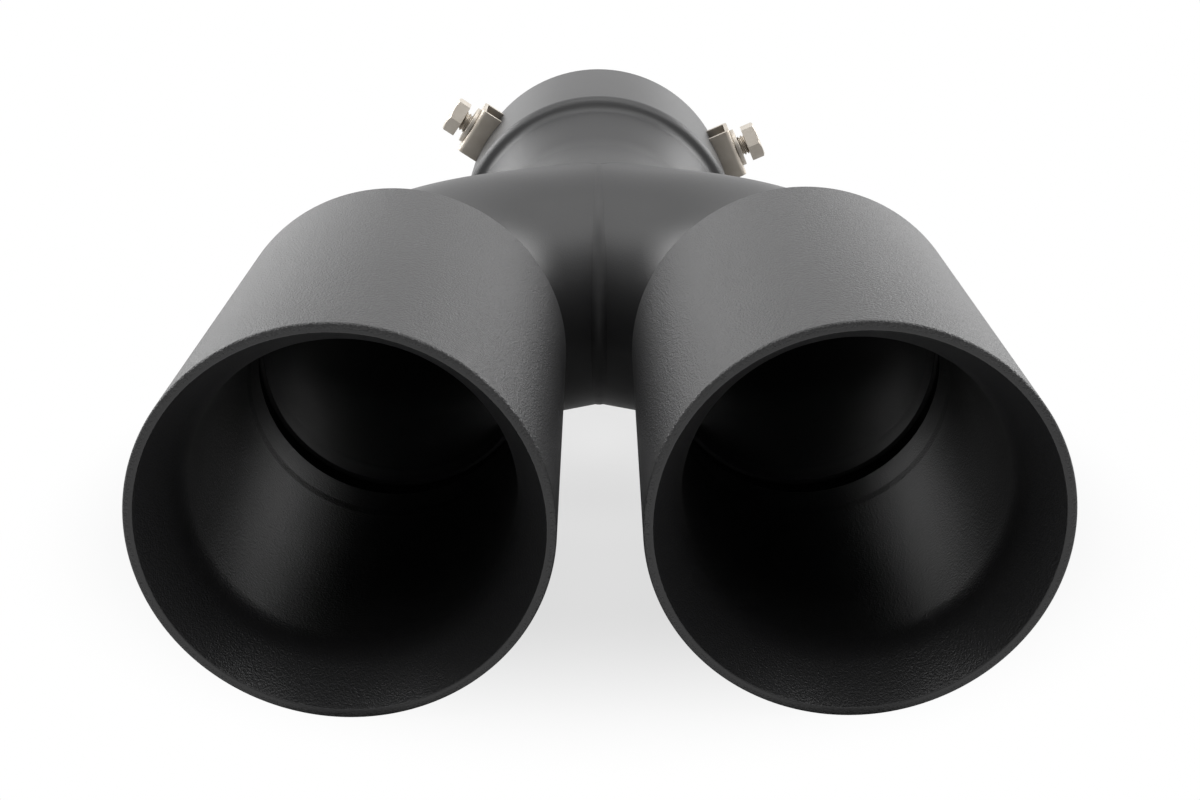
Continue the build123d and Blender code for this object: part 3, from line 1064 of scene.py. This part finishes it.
def floor():
    """A pale floor that shows the shadow around the object and is white away from it.

    Reflections show it white in front of the rims and far from the object, and in its own shade elsewhere.
    """
    bolt_low, bolt_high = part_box("lower_set_bolt")
    bolt_y = (bolt_low.y + bolt_high.y) / 2
    lean = atan2(bolt_low.z + TIP_RADIUS, bolt_y - MOUTH_Y)
    bpy.ops.mesh.primitive_plane_add(
        size=FLOOR_SIZE, location=(0, MOUTH_Y, -TIP_RADIUS), rotation=(lean, 0, 0),
    )
    ground = bpy.context.object
    ground.name = "floor"
    material, tree, shader = new_material("pale_floor")
    shader.inputs["Base Color"].default_value = FLOOR_GREY
    shader.inputs["Roughness"].default_value = FLOOR_ROUGHNESS
    shader.inputs["Specular IOR Level"].default_value = 0.0
    place = add_node(tree, "ShaderNodeTexCoord").outputs["Object"]
    oval = with_inputs(tree, "ShaderNodeMapping", {
        "Vector": place,
        "Location": (0, -SHADOW_CENTRE / SHADOW_HALF_DEPTH, 0),
        "Scale": (1 / SHADOW_HALF_WIDTH, 1 / SHADOW_HALF_DEPTH, 1),
    })
    length = add_node(tree, "ShaderNodeVectorMath", operation="LENGTH")
    feed(tree, length.inputs[0], oval.outputs["Vector"])
    distance = length.outputs["Value"]
    depth = with_inputs(tree, "ShaderNodeSeparateXYZ", {"Vector": place}).outputs["Y"]
    away = soft_ramp(tree, distance, SHADOW_START, SHADOW_END)
    far = soft_ramp(tree, distance, MIRRORED_START, MIRRORED_END)
    in_front = soft_ramp(tree, depth, 0.0, -FRONT_FADE)
    outside = calc(tree, "MAXIMUM", far, in_front)
    path = add_node(tree, "ShaderNodeLightPath")
    shown = calc(tree, "MULTIPLY", seen_plainly(tree, path), between(tree, away, FLOOR_WHITE, 1.0))
    mirrored = calc(tree, "MULTIPLY", path.outputs["Is Glossy Ray"], between(
        tree, outside, FLOOR_MIRRORED, FLOOR_MIRRORED_OUTSIDE))
    white = add_node(tree, "ShaderNodeEmission")
    mix = add_node(tree, "ShaderNodeMixShader")
    feed(tree, mix.inputs["Fac"], calc(tree, "MAXIMUM", shown, mirrored))
    tree.links.new(shader.outputs["BSDF"], mix.inputs[1])
    tree.links.new(white.outputs["Emission"], mix.inputs[2])
    tree.links.new(mix.outputs["Shader"], tree.nodes["Material Output"].inputs["Surface"])
    material.cycles.emission_sampling = "NONE"
    ground.data.materials.append(material)


def surroundings():
    """A white room. In reflections it is dimmer in front than behind, and as fill light it is faint."""
    world = bpy.data.worlds.new("room")
    bpy.context.scene.world = world
    world.cycles.sampling_method = "NONE"
    world.use_nodes = True
    tree = world.node_tree
    background = tree.nodes["Background"]
    path = add_node(tree, "ShaderNodeLightPath")
    is_glossy = path.outputs["Is Glossy Ray"]
    direction = with_inputs(tree, "ShaderNodeSeparateXYZ", {
        "Vector": add_node(tree, "ShaderNodeTexCoord").outputs["Generated"],
    })
    mirrored = soft_ramp(
        tree, direction.outputs["Y"], FRONT_SHADE_END, BACKDROP_START, FRONT_SHADE, BACKDROP_LIGHT,
    )
    glossy = calc(tree, "MULTIPLY", is_glossy, mirrored)
    shown = calc(tree, "MAXIMUM", seen_plainly(tree, path), glossy)
    fill = calc(tree, "MULTIPLY", FILL_LIGHT, calc(tree, "SUBTRACT", 1.0, is_glossy))
    background.inputs["Color"].default_value = WHITE
    feed(tree, background.inputs["Strength"], calc(tree, "MAXIMUM", shown, fill))


def softbox(name, place, facing, width, height, brightness):
    """A flat panel of light. A brightness of 1 is as bright as a white backdrop."""
    lamp = bpy.data.lights.new(name, "AREA")
    lamp.shape = "RECTANGLE"
    lamp.size = width
    lamp.size_y = height
    lamp.energy = pi * width * height * brightness
    holder = shown_object(name, lamp)
    holder.location = place
    holder.rotation_euler = Vector(facing).to_track_quat("-Z", "Y").to_euler()
    holder.visible_camera = False


def camera():
    data = bpy.data.cameras.new("camera")
    data.sensor_width = SENSOR_WIDTH
    data.lens = SENSOR_WIDTH * (FOCAL_PIXELS / PICTURE_PIXELS)
    holder = shown_object("camera", data)
    turn = Matrix.Rotation(CAMERA_TURN, 4, "Z") @ Matrix.Rotation(pi / 2 + CAMERA_PITCH, 4, "X")
    holder.matrix_world = Matrix.Translation(CAMERA_PLACE) @ turn @ Matrix.Rotation(CAMERA_ROLL, 4, "Z")
    bpy.context.scene.camera = holder


floor()
surroundings()
softbox("overhead_softbox", (0, 0.05, 1.3), DOWNWARDS, width=1.0, height=0.6, brightness=2.6)
softbox("front_overhead_softbox", (0, -0.8, 1.3), DOWNWARDS, width=0.8, height=0.5, brightness=1.2)
for side, sign in SIDES.items():
    softbox(
        side + "_softbox", (sign * 1.3, 0.7, 0.85), (-sign, 0, 0),
        width=1.6, height=0.9, brightness=5.4,
    )
    softbox(
        side + "_upper_softbox", (sign * 0.9, -0.35, 1.3), DOWNWARDS,
        width=0.8, height=0.75, brightness=2.9,
    )
    softbox(
        side + "_backdrop_light", (sign * 0.83, 1.5, 0.47), FORWARDS,
        width=0.95, height=0.7, brightness=0.7,
    )
camera()
bpy.context.scene.view_settings.view_transform = "Standard"
